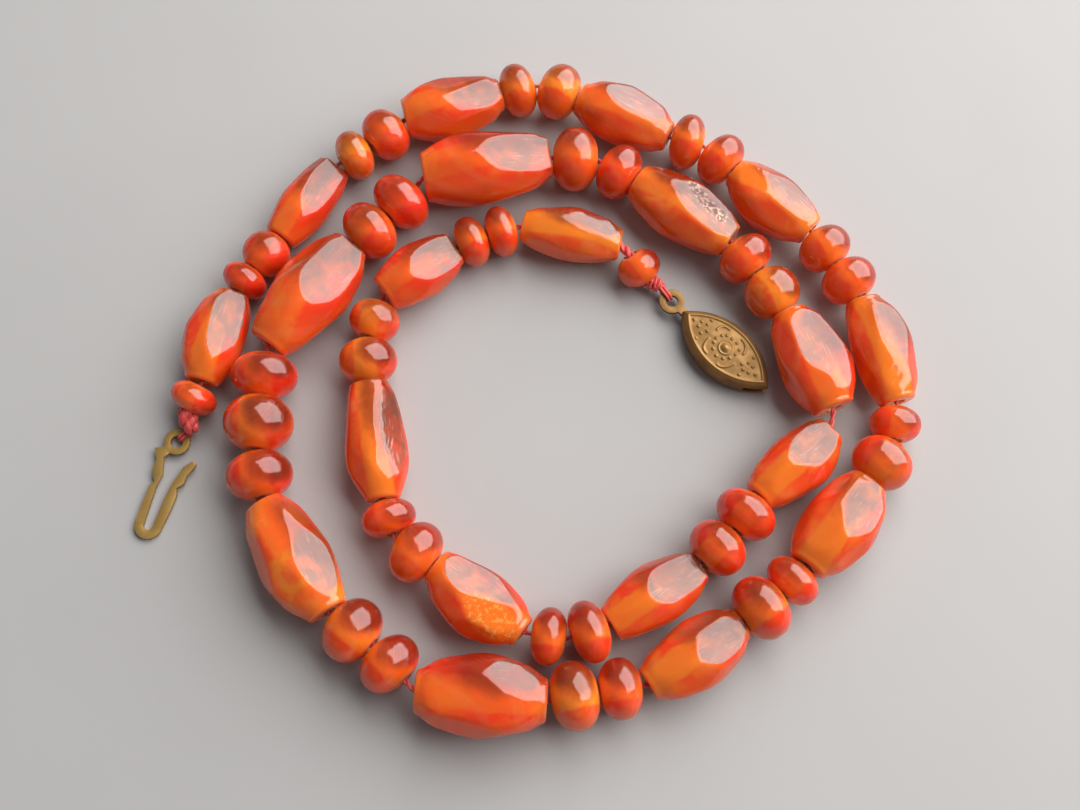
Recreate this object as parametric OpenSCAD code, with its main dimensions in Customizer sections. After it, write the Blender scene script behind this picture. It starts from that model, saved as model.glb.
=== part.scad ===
// Carnelian bead necklace, open and laid in a loose spiral, with a fish-hook clasp.
// The string runs from the hook end, round the outside, and inwards to the clasp end.
// Sizes are in millimetres and angles in degrees. Headings are measured from +X towards +Y.
// Every bead lies on z = 0.

/* [Beads] */
// Diameter of the hole through every bead
bore_d = 2; // [1.9:0.1:2.2]
// Free play between one bead and the next
play = 0.08; // [0.06:0.02:0.2]
// Height of a barrel bead as a part of its width
flatness = 0.9; // [0.87:0.01:0.93]
// Tilt of the bead at the hook end, hook side down
first_pitch = -10; // [-14:1:0]
// Tilt of the bead at the clasp end, clasp side down
last_pitch = 28; // [22:1:30]

/* [Thread] */
// Thickness of the doubled silk thread in the beads
thread_d = 1; // [0.6:0.1:1]
// Thickness of the strands looped through the eyelets
strand_d = 0.4; // [0.3:0.02:0.42]

/* [Hook] */
// Thickness of the hook's sheet metal
hook_t = 0.6; // [0.5:0.05:0.65]
// Outer radius of the hook's bend
bend_r = 1.85; // [1.75:0.05:1.95]
// Tilt of the hook, which lifts its eyelet off the ground for the thread
hook_tilt = 2.2; // [2.2:0.1:3]

/* [Clasp] */
// Length of the clasp's shell, from point to point
shell_l = 15.8; // [15.4:0.1:16]
// Width of the clasp's shell
shell_w = 7.7; // [7.4:0.1:8]
// Height of the clasp's shell
shell_h = 2.8; // [2.6:0.1:3]
// Thickness of the shell's sheet metal
shell_wall = 0.5; // [0.4:0.05:0.6]
// Height of the mouth that takes the folded hook
mouth_h = 1.3; // [1.2:0.1:1.4]

/* [Hidden] */
$fn = 96;
eps = 0.01;
tube_sides = 8;

// Columns that both bead tables have
LENGTH = 0;
WIDTH = 1;
HEADING = 2;
// Further columns of the barrel table: the flat ends and the place of the belly are parts of
// the width and length, SWELL moves the belly to the left, ROLL turns the six faces about the
// bore, and ROUNDING is half the angle of the narrow face on each of the six edges.
END_A = 3;
END_B = 4;
BELLY = 5;
SWELL = 6;
ROLL = 7;
ROUNDING = 8;

// One row for each barrel bead:
// LENGTH, WIDTH, HEADING, END_A, END_B, BELLY, SWELL, ROLL, ROUNDING
barrels = [
    [13.3, 8.5, 75, 0.50, 0.48, 0.45, 0.6, 0, 9],
    [13.2, 7.3, 57, 0.66, 0.64, 0.35, 0.0, 0, 9],
    [14.3, 9.3, 16, 0.58, 0.46, 0.40, -0.1, 10, 9],
    [14.2, 9.1, -26, 0.47, 0.42, 0.42, 0.5, 20, 9],
    [13.8, 8.7, -42, 0.44, 0.48, 0.50, -0.5, -20, 9],
    [15.2, 8.7, -76, 0.50, 0.54, 0.40, 0.7, 30, 9],
    [14.2, 9.9, -129, 0.50, 0.50, 0.50, 0.5, 30, 9],
    [14.4, 9.1, -147, 0.42, 0.44, 0.50, 0.3, 0, 9],
    [16.5, 10.8, 176, 0.46, 0.47, 0.45, -0.1, 10, 9],
    [16.9, 10.0, 123, 0.50, 0.50, 0.40, 0.5, 0, 9],
    [18.1, 10.6, 54, 0.50, 0.48, 0.50, 0.0, 0, 9],
    [18.1, 11.0, 10, 0.62, 0.48, 0.42, 0.1, 0, 9],
    [15.8, 9.4, -36, 0.53, 0.50, 0.45, 0.1, -20, 9],
    [14.8, 10.2, -69, 0.42, 0.52, 0.55, 0.4, 0, 9],
    [13.6, 8.4, -138, 0.48, 0.50, 0.45, 0.5, 20, 9],
    [13.9, 8.3, -147, 0.47, 0.55, 0.50, -0.1, 0, 9],
    [14.2, 9.2, 143, 0.40, 0.48, 0.50, 0.8, 10, 9],
    [16.2, 8.6, 99, 0.52, 0.60, 0.36, 0.2, -10, 9],
    [11.8, 8.4, 36, 0.60, 0.55, 0.42, 0.0, 0, 9],
    [14.0, 7.9, -12, 0.52, 0.51, 0.45, 0.3, 0, 15],
];

// One row for each rondelle: LENGTH (from lip to lip), WIDTH (its diameter), HEADING
rondelles = [
    [3.7, 6.5, 62],
    [3.8, 6.6, 58],
    [5.6, 6.7, 54],
    [4.5, 7.3, 29],
    [5.5, 7.7, 42],
    [4.8, 7.8, 18],
    [5.7, 8.1, -21],
    [4.6, 8.0, -15],
    [5.0, 7.8, -44],
    [5.4, 7.5, -56],
    [5.6, 7.7, -61],
    [4.5, 6.9, -98],
    [6.3, 8.2, -125],
    [4.5, 7.4, -134],
    [6.0, 8.7, -145],
    [5.3, 7.9, -173],
    [6.0, 8.9, -169],
    [5.7, 8.3, 134],
    [6.4, 8.7, 144],
    [6.2, 8.9, 101],
    [7.3, 9.4, 88],
    [5.9, 9.0, 87],
    [6.0, 8.6, 43],
    [5.7, 8.7, 49],
    [6.3, 9.1, -2],
    [5.4, 8.1, -31],
    [5.3, 8.0, -52],
    [6.5, 7.8, -58],
    [5.3, 8.3, -126],
    [5.8, 8.0, -136],
    [4.8, 8.2, -161],
    [4.4, 7.5, 172],
    [5.8, 8.4, 147],
    [4.5, 7.3, 107],
    [5.9, 8.0, 94],
    [5.2, 7.0, 73],
    [4.3, 7.2, 23],
    [4.1, 7.3, 17],
    [4.3, 6.2, -52],
];

// Rondelles before each barrel bead, then those after the last one
between = [1, 2, 2, 2, 2, 2, 2, 2, 2, 2, 3, 2, 2, 2, 0, 2, 2, 2, 2, 2, 1];

// Start of the string at the hook end
string_start = [-46.21, -4.53];

// Radius of the flat lip round each hole of a rondelle
lip_r = 1.4;
// Spare thread that shows before the last bead
last_gap = 0.3;

// Stations along a barrel bead: distance of the shoulders from the ends, and half the length
// of the belly, as parts of its length, with the part of the widening done at the shoulders
shoulder = 0.16;
belly_half = 0.1;
shoulder_rise = 0.66;

function two(n) = n < 10 ? str("0", n) : str(n);
function sum_to(v, n) = n == 0 ? 0 : v[n - 1] + sum_to(v, n - 1);
function unit(v) = v / norm(v);
function direction(heading) = [cos(heading), sin(heading)];
function turned(v, a) = [v[0] * cos(a) - v[1] * sin(a), v[0] * sin(a) + v[1] * cos(a)];
function turn_between(a, b) = abs((b - a + 540) % 360 - 180);

// Beads in string order, each as [true for a barrel, row of its table]
order = [for (g = [0 : len(between) - 1]) each concat(
    [for (j = [0 : 1 : between[g] - 1]) [false, sum_to(between, g) + j]],
    g < len(barrels) ? [[true, g]] : [])];
count = len(order);
last = count - 1;

function is_barrel(i) = order[i][0];
function row(i) = is_barrel(i) ? barrels[order[i][1]] : rondelles[order[i][1]];
function heading(i) = row(i)[HEADING];
function pitch(i) = i == 0 ? first_pitch : i == last ? last_pitch : 0;

// A rondelle is a spheroid of this half length, cut flat at its two lips
function body_half(r) = r[LENGTH] / 2 / sqrt(1 - pow(2 * lip_r / r[WIDTH], 2));

// Half of the length that a bead takes up in plan
function half_run(i) = pitch(i) == 0
    ? row(i)[LENGTH] / 2
    : norm([body_half(row(i)) * cos(pitch(i)), row(i)[WIDTH] / 2 * sin(pitch(i))]);

// Turn of the string at a joint, and how far a bead's end leans from the plane that parts it
// from its neighbour there: a barrel's flat end is that plane for a rondelle, and two beads of
// one kind share the turn
function turn_at(i) = i < 1 || i > last ? 0 : turn_between(heading(i - 1), heading(i));
function shared(i, other, turn) = other < 0 || other > last ? 0
    : is_barrel(i) == is_barrel(other) ? turn / 2
    : is_barrel(i) ? 0 : turn;
function end_lean(i, end) = end == END_A ? shared(i, i - 1, turn_at(i)) : shared(i, i + 1, turn_at(i + 1));

// Room that a bead needs at a joint of the string: its flat end meets the parting plane with
// its edge, but a rondelle that leans further, or is pitched, meets it with its round body
function edge_room(edge_r, lean) = edge_r * tan(lean);
function round_room(i, half, lean) = norm([half, row(i)[WIDTH] / 2 * tan(lean)]) - half_run(i);
function body_meets(i, lean) = let (half = body_half(row(i)))
    pow(half, 2) < half_run(i) * norm([half, row(i)[WIDTH] / 2 * tan(lean)]);
function room(i, end, lean) = is_barrel(i) ? edge_room(row(i)[end] * row(i)[WIDTH] / 2, lean)
    : pitch(i) != 0 ? round_room(i, half_run(i), lean)
    : body_meets(i, lean) ? round_room(i, body_half(row(i)), lean)
    : edge_room(lip_r, lean);
function setback(i, end) = play / 2 + room(i, end, end_lean(i, end));
function lead(i) = setback(i, END_A) + (i == last ? last_gap : 0) + half_run(i);
function step(i) = lead(i) + half_run(i) + setback(i, END_B);

// Height of the middle of a bead that lies on the ground
function rest_z(i) = is_barrel(i)
    ? row(i)[WIDTH] * flatness / 2
    : norm([body_half(row(i)) * sin(pitch(i)), row(i)[WIDTH] / 2 * cos(pitch(i))]);

// Joints of the string, in plan
joints = [for (i = 0, p = string_start; i <= count;
    p = i < count ? p + step(i) * direction(heading(i)) : p, i = i + 1) p];
string_end = joints[count];

function on_axis(i, along) = let (
    middle = joints[i] + lead(i) * direction(heading(i)),
    plan = middle + along * cos(pitch(i)) * direction(heading(i)))
    [plan[0], plan[1], rest_z(i) - along * sin(pitch(i))];
function mouth_a(i) = on_axis(i, -row(i)[LENGTH] / 2);
function mouth_b(i) = on_axis(i, row(i)[LENGTH] / 2);

// Thread: through the joint between two beads, or through both holes where it bends sharply
sharp_turn = 30;
stick_out_first = 0.15;
stick_out_last = 0.3;
function sharp(i) = turn_at(i) > sharp_turn || i == 1 || i == last;
function between_beads(i) = sharp(i)
    ? [mouth_b(i - 1), mouth_a(i)]
    : [[joints[i][0], joints[i][1], (rest_z(i - 1) + rest_z(i)) / 2]];
thread_route = concat(
    [on_axis(0, -row(0)[LENGTH] / 2 - stick_out_first)],
    [for (i = [1 : last]) each between_beads(i)],
    [on_axis(last, row(last)[LENGTH] / 2 + stick_out_last)]);

// Knots: the ends of each one's straight middle line, as x and y from the end of the string
// and z, and its largest radius
hook_knot_line = [[-0.29, -0.61, 2.50], [0.81, -2.21, 2.10]];
hook_knot_r = 1.4;
clasp_knot_line = [[0.25, 0.15, 1.65], [1.85, -0.25, 1.75]];
clasp_knot_r = 1.1;
// Swell of a knot: part of its length, and part of its largest radius
knot_swell = [
    [0.00, 0.35],
    [0.20, 0.80],
    [0.45, 1.00],
    [0.70, 0.90],
    [1.00, 0.45],
];

// Loop of a knot round the rim of an eyelet: distance from the eyelet's centre, and height
// above the underside of the rim
loop_rows = [
    [2.65, 1.10],
    [2.10, 1.02],
    [1.40, 0.96],
    [0.80, 0.94],
    [0.46, 0.60],
    [0.48, 0.10],
    [0.66, -0.27],
    [1.20, -0.29],
    [1.85, -0.29],
    [2.20, 0.00],
    [2.30, 0.45],
    [2.60, 0.80],
];

// Eyelets
eyelet_r = 1.75;
eyelet_hole_r = 0.85;

// Hook: its bend's centre from the start of the string, its heading, and its eyelet's place
hook_offset = [-4.40, -14.97];
hook_heading = 71;
hook_eyelet = [11.7, 0.85];
hook_loop_heading = 40;
hook_at = string_start + hook_offset;
// Inner radius of the bend
bend_hole_r = 0.65;
// Outline of the arm that ends in the eyelet, along the hook and across it
long_arm = [
    [-0.01, 1.84], [5.0, 2.0], [5.7, 1.55], [6.3, 2.0], [7.0, 2.45], [8.5, 2.45],
    [9.95, 3.35], [10.5, 2.3], [11.0, 1.2], [9.9, 1.2], [9.2, 1.7], [7.0, 0.95],
    [5.2, 1.1], [-0.01, 0.66],
];
// Outline of the springy arm that ends in the tip
short_arm = [
    [-0.01, -0.65], [4.2, -0.65], [6.2, -0.8], [8.8, -1.4], [9.7, -2.1], [9.2, -2.75],
    [7.8, -2.25], [6.7, -2.3], [5.8, -1.6], [4.9, -2.0], [2.8, -2.0], [-0.01, -1.84],
];
hook_tip = [9.5, -2.4];
hook_tip_r = 0.4;

// Clasp: the middle of its shell from the end of the string, and its heading to the mouth
clasp_offset = [9.96, -9.71];
clasp_heading = -45;
clasp_eyelet = [-10.1, 0.25];
clasp_loop_heading = 127;
clasp_at = string_end + clasp_offset;
eyelet_z = 1.1;
eyelet_t = 0.6;
neck_start = (eyelet_hole_r + eyelet_r) / 2;
neck_l = 1.5;
neck_w = 1.1;
shell_edge = 0.7;
mouth_x = 5.4;
// The shell's sides are two arcs of this radius, each centred this far across the middle
side_r = (pow(shell_l / 2, 2) + pow(shell_w / 2, 2)) / shell_w;
side_shift = side_r - shell_w / 2;

// Groups of neighbouring rondelles, one node each
groups = [for (g = [0 : len(between) - 1]) if (between[g] > 0) g];

// Solid through rings of points, each ring turning from +Y to +Z when it faces +X
module skin(rings) {
    n = len(rings[0]);
    top = (len(rings) - 1) * n;
    walls = [for (r = [0 : len(rings) - 2]) for (k = [0 : n - 1])
        let (a = r * n + k, b = r * n + (k + 1) % n)
        each [[a, b + n, b], [a, a + n, b + n]]];
    polyhedron(
        points = [for (ring = rings) each ring],
        faces = concat([[for (k = [0 : n - 1]) k]], walls, [[for (k = [0 : n - 1]) top + n - 1 - k]]));
}

function tangent(p, i) = unit(
    (i > 0 ? unit(p[i] - p[i - 1]) : [0, 0, 0]) +
    (i < len(p) - 1 ? unit(p[i + 1] - p[i]) : [0, 0, 0]));

// Round tube along points; across is any direction that no stretch of it runs in
module tube(points, radii, across) {
    skin([for (i = [0 : len(points) - 1])
        let (t = tangent(points, i), side = unit(cross(across, t)), up = cross(t, side))
        [for (k = [0 : tube_sides - 1]) let (a = 360 * k / tube_sides)
            points[i] + radii[i] * (cos(a) * side + sin(a) * up)]]);
}

// Moves a bead that lies along X to its place on the string
module on_string(i) {
    translate(on_axis(i, 0))
        rotate([0, pitch(i), heading(i)])
            children();
}

function corners(r) = [for (k = [0 : 5]) for (side = [-1, 1]) r[ROLL] + 60 * k + side * r[ROUNDING]];

// Section of a barrel bead at part s of its length, with part f of its full width
function barrel_ring(r, s, f) = let (
    angles = corners(r),
    half_w = f * r[WIDTH] / 2 / max([for (a = angles) cos(a)]),
    half_h = f * r[WIDTH] / 2 * flatness / max([for (a = angles) sin(a)]),
    left = r[SWELL] * min(1, s / r[BELLY], (1 - s) / (1 - r[BELLY])))
    [for (a = angles) [(s - 0.5) * r[LENGTH], left + half_w * cos(a), half_h * sin(a)]];

module barrel(k) {
    r = barrels[k];
    rise_a = r[END_A] + shoulder_rise * (1 - r[END_A]);
    rise_b = r[END_B] + shoulder_rise * (1 - r[END_B]);
    color("OrangeRed")
        on_string(sum_to(between, k + 1) + k)
            difference() {
                skin([
                    barrel_ring(r, 0, r[END_A]),
                    barrel_ring(r, shoulder, rise_a),
                    barrel_ring(r, r[BELLY] - belly_half, 1),
                    barrel_ring(r, r[BELLY] + belly_half, 1),
                    barrel_ring(r, 1 - shoulder, rise_b),
                    barrel_ring(r, 1, r[END_B]),
                ]);
                rotate([0, 90, 0])
                    cylinder(h = r[LENGTH] + 2, d = bore_d, center = true);
            }
}

module rondelle(r) {
    rotate([0, 90, 0])
        rotate_extrude()
            intersection() {
                scale([1, 2 * body_half(r) / r[WIDTH]])
                    circle(d = r[WIDTH]);
                translate([bore_d / 2, -r[LENGTH] / 2])
                    square([r[WIDTH], r[LENGTH]]);
            }
}

module rondelle_group(g) {
    color("Tomato")
        for (j = [0 : between[g] - 1]) {
            on_string(sum_to(between, g) + g + j)
                rondelle(rondelles[sum_to(between, g) + j]);
        }
}

module thread() {
    color("Crimson")
        tube(thread_route, [for (p = thread_route) thread_d / 2], [0, 0, 1]);
}

// Knot with its loop round an eyelet's rim, which the loop leaves towards the given heading
module knot(origin, line, r, eyelet, rim_z, loop_heading) {
    out = direction(loop_heading);
    from = [origin[0], origin[1], 0] + line[0];
    along = line[1] - line[0];
    loop = [for (p = loop_rows) [eyelet[0] + p[0] * out[0], eyelet[1] + p[0] * out[1], rim_z + p[1]]];
    color("Crimson") {
        tube([for (k = knot_swell) from + k[0] * along], [for (k = knot_swell) k[1] * r], [0, 0, 1]);
        tube(loop, [for (p = loop) strand_d / 2], [-out[1], out[0], 0]);
    }
}

module hook_knot() {
    rim_z = (hook_eyelet[0] + eyelet_r / 2 + bend_r) * sin(hook_tilt);
    knot(string_start, hook_knot_line, hook_knot_r, hook_at + turned(hook_eyelet, hook_heading),
        rim_z, hook_loop_heading);
}

module clasp_knot() {
    knot(string_end, clasp_knot_line, clasp_knot_r, clasp_at + turned(clasp_eyelet, clasp_heading),
        eyelet_z, clasp_loop_heading);
}

module ring(outer, inner) {
    difference() {
        circle(r = outer);
        circle(r = inner);
    }
}

module bend_outline() {
    intersection() {
        ring(bend_r, bend_hole_r);
        translate([-bend_r - 1, -bend_r - 1])
            square([bend_r + 1, 2 * bend_r + 2]);
    }
}

module hook_plate() {
    linear_extrude(hook_t)
        bend_outline();
    difference() {
        union() {
            linear_extrude(hook_t)
                polygon(long_arm);
            translate(hook_eyelet)
                cylinder(h = hook_t, r = eyelet_r);
        }
        translate([hook_eyelet[0], hook_eyelet[1], -1])
            cylinder(h = hook_t + 2, r = eyelet_hole_r);
    }
    linear_extrude(hook_t)
        polygon(short_arm);
    translate(hook_tip)
        cylinder(h = hook_t, r = hook_tip_r);
}

module hook() {
    color("DarkGoldenrod")
        translate([hook_at[0], hook_at[1], 0])
            rotate([0, 0, hook_heading])
                translate([-bend_r, 0, 0])
                    rotate([0, -hook_tilt, 0])
                        translate([bend_r, 0, 0])
                            hook_plate();
}

// Pointed oval block with its upper and lower edges cut off by edge
module pointed_oval(inset, z, h, edge) {
    r = side_r - inset;
    intersection() {
        oval_side(side_shift, r, z, h, edge);
        oval_side(-side_shift, r, z, h, edge);
    }
}

module oval_side(y, r, z, h, edge) {
    translate([0, y, z])
        rotate_extrude()
            polygon([[0, 0], [r - edge, 0], [r, edge], [r, h - edge], [r - edge, h], [0, h]]);
}

module clasp_shell() {
    color("DarkGoldenrod")
        translate([clasp_at[0], clasp_at[1], 0])
            rotate([0, 0, clasp_heading]) {
                difference() {
                    pointed_oval(0, 0, shell_h, shell_edge);
                    pointed_oval(shell_wall, shell_wall, shell_h - 2 * shell_wall, eps);
                    translate([mouth_x, -shell_w / 2, (shell_h - mouth_h) / 2])
                        cube([shell_l, shell_w, mouth_h]);
                }
                translate([0, 0, eyelet_z])
                    linear_extrude(eyelet_t) {
                        translate(clasp_eyelet)
                            ring(eyelet_r, eyelet_hole_r);
                        translate([clasp_eyelet[0] + neck_start, clasp_eyelet[1] - neck_w / 2])
                            square([neck_l, neck_w]);
                    }
            }
}

for (k = [0 : len(barrels) - 1])
    barrel(k);
for (k = [0 : len(groups) - 1])
    rondelle_group(groups[k]);
thread();
hook_knot();
hook();
clasp_knot();
clasp_shell();
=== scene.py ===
"""Carnelian bead necklace, open and laid in a loose spiral, with a fish-hook clasp.

Every bead is a polished stone with its own cut and colour, threaded on twisted silk.
Lengths are millimetres and angles degrees, save in the materials, where lengths are metres.
"""

import math
from typing import NamedTuple

import bpy
import numpy as np
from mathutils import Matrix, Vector, noise


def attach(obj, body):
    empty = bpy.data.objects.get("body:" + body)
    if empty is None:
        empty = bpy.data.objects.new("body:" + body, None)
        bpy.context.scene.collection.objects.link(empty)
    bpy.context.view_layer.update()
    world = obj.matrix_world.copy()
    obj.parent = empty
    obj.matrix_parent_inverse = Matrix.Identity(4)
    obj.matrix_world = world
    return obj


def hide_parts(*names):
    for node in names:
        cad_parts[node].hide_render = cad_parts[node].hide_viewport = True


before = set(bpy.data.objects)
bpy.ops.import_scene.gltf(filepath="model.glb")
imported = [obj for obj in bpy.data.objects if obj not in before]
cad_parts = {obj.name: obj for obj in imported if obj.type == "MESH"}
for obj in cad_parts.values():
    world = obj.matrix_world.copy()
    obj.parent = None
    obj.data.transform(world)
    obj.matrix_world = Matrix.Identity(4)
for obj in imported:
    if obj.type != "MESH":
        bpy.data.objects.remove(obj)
bpy.context.view_layer.update()

MM = 0.001
UP = np.array([0.0, 0.0, 1.0])
BORE_R = 1.0

# Look of each bead in string order: warm (0 deep red to 1 amber), core (strength of the light
# band along the bore), and the strength of its painted brown shade on the side towards the light,
# where it also turns clearer
BEAD_LOOKS = [
    (0.35, 0.50, 0.60), (0.40, 0.80, 0.50), (0.20, 0.35, 0.50), (0.30, 0.50, 0.30),
    (0.35, 0.60, 0.30), (0.80, 0.90, 0.10), (0.30, 0.60, 0.30), (0.40, 0.60, 0.20),
    (0.60, 0.80, 0.30), (0.70, 0.90, 0.10), (0.45, 0.50, 0.10), (0.50, 0.70, 0.20),
    (0.35, 0.50, 0.20), (0.50, 0.80, 0.10), (0.50, 0.60, 0.30), (0.40, 0.40, 0.10),
    (0.50, 0.90, 0.10), (0.40, 0.60, 0.20), (0.50, 0.60, 0.20), (0.50, 0.80, 0.10),
    (0.40, 0.50, 0.20), (0.45, 0.70, 0.30), (0.50, 0.80, 0.30), (0.30, 0.50, 0.30),
    (0.70, 0.80, 0.40), (0.35, 0.50, 0.10), (0.30, 0.60, 0.30), (0.50, 0.70, 0.50),
    (0.75, 0.30, 0.00), (0.30, 0.50, 0.50), (0.50, 0.60, 0.70), (0.25, 0.40, 0.60),
    (0.45, 0.40, 0.20), (0.35, 0.60, 0.30), (0.15, 0.30, 0.20), (0.40, 0.40, 0.10),
    (0.40, 0.50, 0.20), (0.15, 0.30, 0.20), (0.65, 0.60, 0.50), (0.35, 0.40, 0.10),
    (0.70, 0.90, 0.20), (0.40, 0.60, 0.00), (0.50, 0.80, 0.30), (0.25, 0.50, 0.30),
    (0.30, 0.60, 0.30), (0.40, 0.90, 0.10), (0.30, 0.70, 0.20), (0.35, 0.70, 0.20),
    (0.30, 0.70, 0.20), (0.40, 0.50, 0.10), (0.30, 0.30, 0.10), (0.40, 0.90, 0.10),
    (0.60, 0.90, 0.50), (0.60, 0.90, 0.30), (0.35, 0.50, 0.10), (0.35, 0.70, 0.20),
    (0.35, 0.60, 0.10), (0.60, 0.90, 0.20), (0.40, 0.50, 0.20),
]

# Cut of each barrel bead. Every row is a list of flat faces, each as lean (degrees that the face
# turns from straight up towards the clasp end), roll (degrees to the left of the string) and
# depth (millimetres that the face cuts below the round body). The first face is the frosted one.
BARREL_CUTS = [
    [(9, -24, 1.0), (2, 20, 0.6)],
    [(13, -22, 0.9)],
    [(16, -10, 0.6), (4, 30, 0.6)],
    [(6, 24, 0.9)],
    [(8, 22, 0.8)],
    [(-4, 22, 0.8)],
    [(-14, 14, 0.7)],
    [(-17, 8, 0.7)],
    [(-18, -34, 0.5), (10, 6, 0.5)],
    [(-6, -34, 0.8)],
    [(15, -18, 1.2)],
    [(20, -2, 1.2)],
    [(12, 16, 0.9)],
    [(-7, 12, 1.2), (8, 26, 0.7)],
    [(-14, -4, 0.9)],
    [(-18, 0, 1.1)],
    [(4, -30, 1.05), (-10, 0, 0.85)],
    [(2, -47, 0.7)],
    [(17, -14, 1.0)],
    [(14, 24, 0.4)],
]

# Places of the beads

BARREL_COUNT = 20
# The barrel that has no rondelle between it and the one before
BARE_BARREL = 15
# Points of a CAD mesh that agree to this many digits are one point
WELD_DIGITS = 4
# Flat ends of a CAD bead: least cosine between a facet's normal and the longest edge, and how far
# from the end a point may lie
END_COSINE, END_DEPTH = 0.99, 0.02


def unit(v):
    return v / np.linalg.norm(v)


def islands(node):
    """The separate solids of a CAD node, each as its points, edges and facets."""
    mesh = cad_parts[node].data
    co = np.array([v.co for v in mesh.vertices]) / MM
    points, index = np.unique(np.round(co, WELD_DIGITS), axis=0, return_inverse=True)
    index = index.ravel()
    edges = np.array([[index[e.vertices[0]], index[e.vertices[1]]] for e in mesh.edges])
    facets = np.array([p.normal * p.area for p in mesh.polygons])
    corner = np.array([index[p.vertices[0]] for p in mesh.polygons])
    # Each point takes the lowest label among its neighbours until nothing changes
    label = np.arange(len(points))
    while True:
        low = label.copy()
        np.minimum.at(low, edges[:, 0], label[edges[:, 1]])
        np.minimum.at(low, edges[:, 1], label[edges[:, 0]])
        low = low[low]
        if (low == label).all():
            break
        label = low
    solids = []
    for k in np.unique(label):
        own = edges[label[edges[:, 0]] == k]
        vectors = points[own[:, 1]] - points[own[:, 0]]
        solids.append((points[label == k], vectors, facets[label[corner] == k]))
    return solids


def bore_axis(edges, facets):
    """Direction of a bead's bore: near its longest edge, and square to its flat ends."""
    rough = unit(edges[np.linalg.norm(edges, axis=1).argmax()])
    area = np.linalg.norm(facets, axis=1)
    ends = facets[np.abs(facets @ rough) > END_COSINE * area]
    return unit((ends * np.sign(ends @ rough)[:, None]).sum(axis=0))


class Bead:
    """A bead's place: rows of turn are its own axes (along the string, left, up)."""

    def __init__(self, node, points, edges, facets):
        self.node = node
        self.points = points
        self.axis = bore_axis(edges, facets)
        self.centre = (points.min(axis=0) + points.max(axis=0)) / 2

    def settle(self, towards):
        """Point the bead's first axis that way, and put its centre on the bore."""
        if self.axis @ towards < 0:
            self.axis = -self.axis
        left = unit(np.cross(UP, self.axis))
        self.turn = np.array([self.axis, left, np.cross(self.axis, left)])
        local = (self.points - self.centre) @ self.turn.T
        end = local[local[:, 0] < local[:, 0].min() + END_DEPTH]
        shift = (local.min(axis=0) + local.max(axis=0)) / 2
        shift[1:] = (end[:, 1:].min(axis=0) + end[:, 1:].max(axis=0)) / 2
        self.centre = self.centre + shift @ self.turn
        self.local = local - shift
        self.length = np.ptp(self.local[:, 0])
        self.half = self.length / 2

    def world(self, local):
        return local @ self.turn + self.centre

    def on_bore(self, x):
        """The point in the middle of the bore, x from the bead's middle."""
        return self.world(np.array([x, 0, 0]))


def string_order():
    """Names of the bead nodes from the hook to the clasp."""
    names = []
    group = 1
    for k in range(1, BARREL_COUNT + 1):
        if k != BARE_BARREL:
            names.append(f"rondelles_{group:02d}")
            group += 1
        names.append(f"barrel_{k:02d}")
    return names + [f"rondelles_{group:02d}"]


def find_beads():
    """The beads in string order. In a node of several, the nearest to the last bead is next."""
    beads = []
    here = np.array(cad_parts["hook_knot"].data.vertices[0].co) / MM
    for name in string_order():
        group = [Bead(name, *solid) for solid in islands(name)]
        while group:
            nearest = min(group, key=lambda b: np.linalg.norm(b.centre - here))
            group.remove(nearest)
            beads.append(nearest)
            here = nearest.centre
    for i, bead in enumerate(beads):
        bead.number = i + 1
        before = beads[max(i - 1, 0)].centre
        after = beads[min(i + 1, len(beads) - 1)].centre
        bead.settle(after - before)
    return beads


# Meshes


def make_mesh(name, points, faces):
    """A smooth-shaded object, from points in millimetres."""
    mesh = bpy.data.meshes.new(name)
    mesh.from_pydata([tuple(p) for p in np.asarray(points) * MM], [], faces)
    mesh.validate()
    mesh.polygons.foreach_set("use_smooth", [True] * len(mesh.polygons))
    mesh.update()
    obj = bpy.data.objects.new(name, mesh)
    bpy.context.scene.collection.objects.link(obj)
    return obj


def set_attribute(obj, name, values, kind="FLOAT"):
    attribute = obj.data.attributes.new(name, kind, "POINT")
    field = "vector" if kind == "FLOAT_VECTOR" else "value"
    attribute.data.foreach_set(field, np.asarray(values, np.float32).ravel())


def ring_faces(rows, around, closed):
    """Quads between rows of points that close round. If closed, the last row joins the first."""
    faces = []
    for i in range(rows if closed else rows - 1):
        j = (i + 1) % rows
        for k in range(around):
            n = (k + 1) % around
            faces.append((i * around + k, i * around + n, j * around + n, j * around + k))
    return faces


# How far each seed moves the noise from the last one
SEED_STEP = (7.31, 3.17, 5.73)


def waves(points, size, seed):
    """Smooth seeded unevenness at each point, from -1 to 1."""
    offset = Vector([seed * step for step in SEED_STEP])
    return np.array([noise.noise(Vector(p) / size + offset) for p in points])


# Beads

# Points of each ring, and rings of each kind of body
AROUND = 96
BARREL_RINGS, RONDELLE_RINGS = 64, 41
ANGLES = np.linspace(0, 2 * math.pi, AROUND, endpoint=False)
COS, SIN = np.cos(ANGLES), np.sin(ANGLES)

# Rounding of a barrel's ends, and its steps
EDGE, EDGE_STEPS = 0.6, 4
# Chamfer at the mouth of each bore, and where it bends
RIM, RIM_BEND = 0.12, 0.3
# Radius of the flat lip of a rondelle, and power of its section (2 is an ellipse)
LIP_R, FULLNESS = 1.4, 2.15

# Rings of the CAD beads: the radius that the outside is beyond, how near to one x the points of
# a ring lie, and how far apart rings are at least
OUTSIDE_R, RING_REACH, RING_SPACING = BORE_R * 1.05, 0.08, 0.3
# Smoothing of a barrel's outline: width as a share of its length, reach in widths, and samples
SOFTENING, SOFT_REACH, SOFT_SAMPLES = 0.10, 1.5, 31

# The higher this is, the sharper the edges between cuts are
CUT_SHARPNESS = 34
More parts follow.
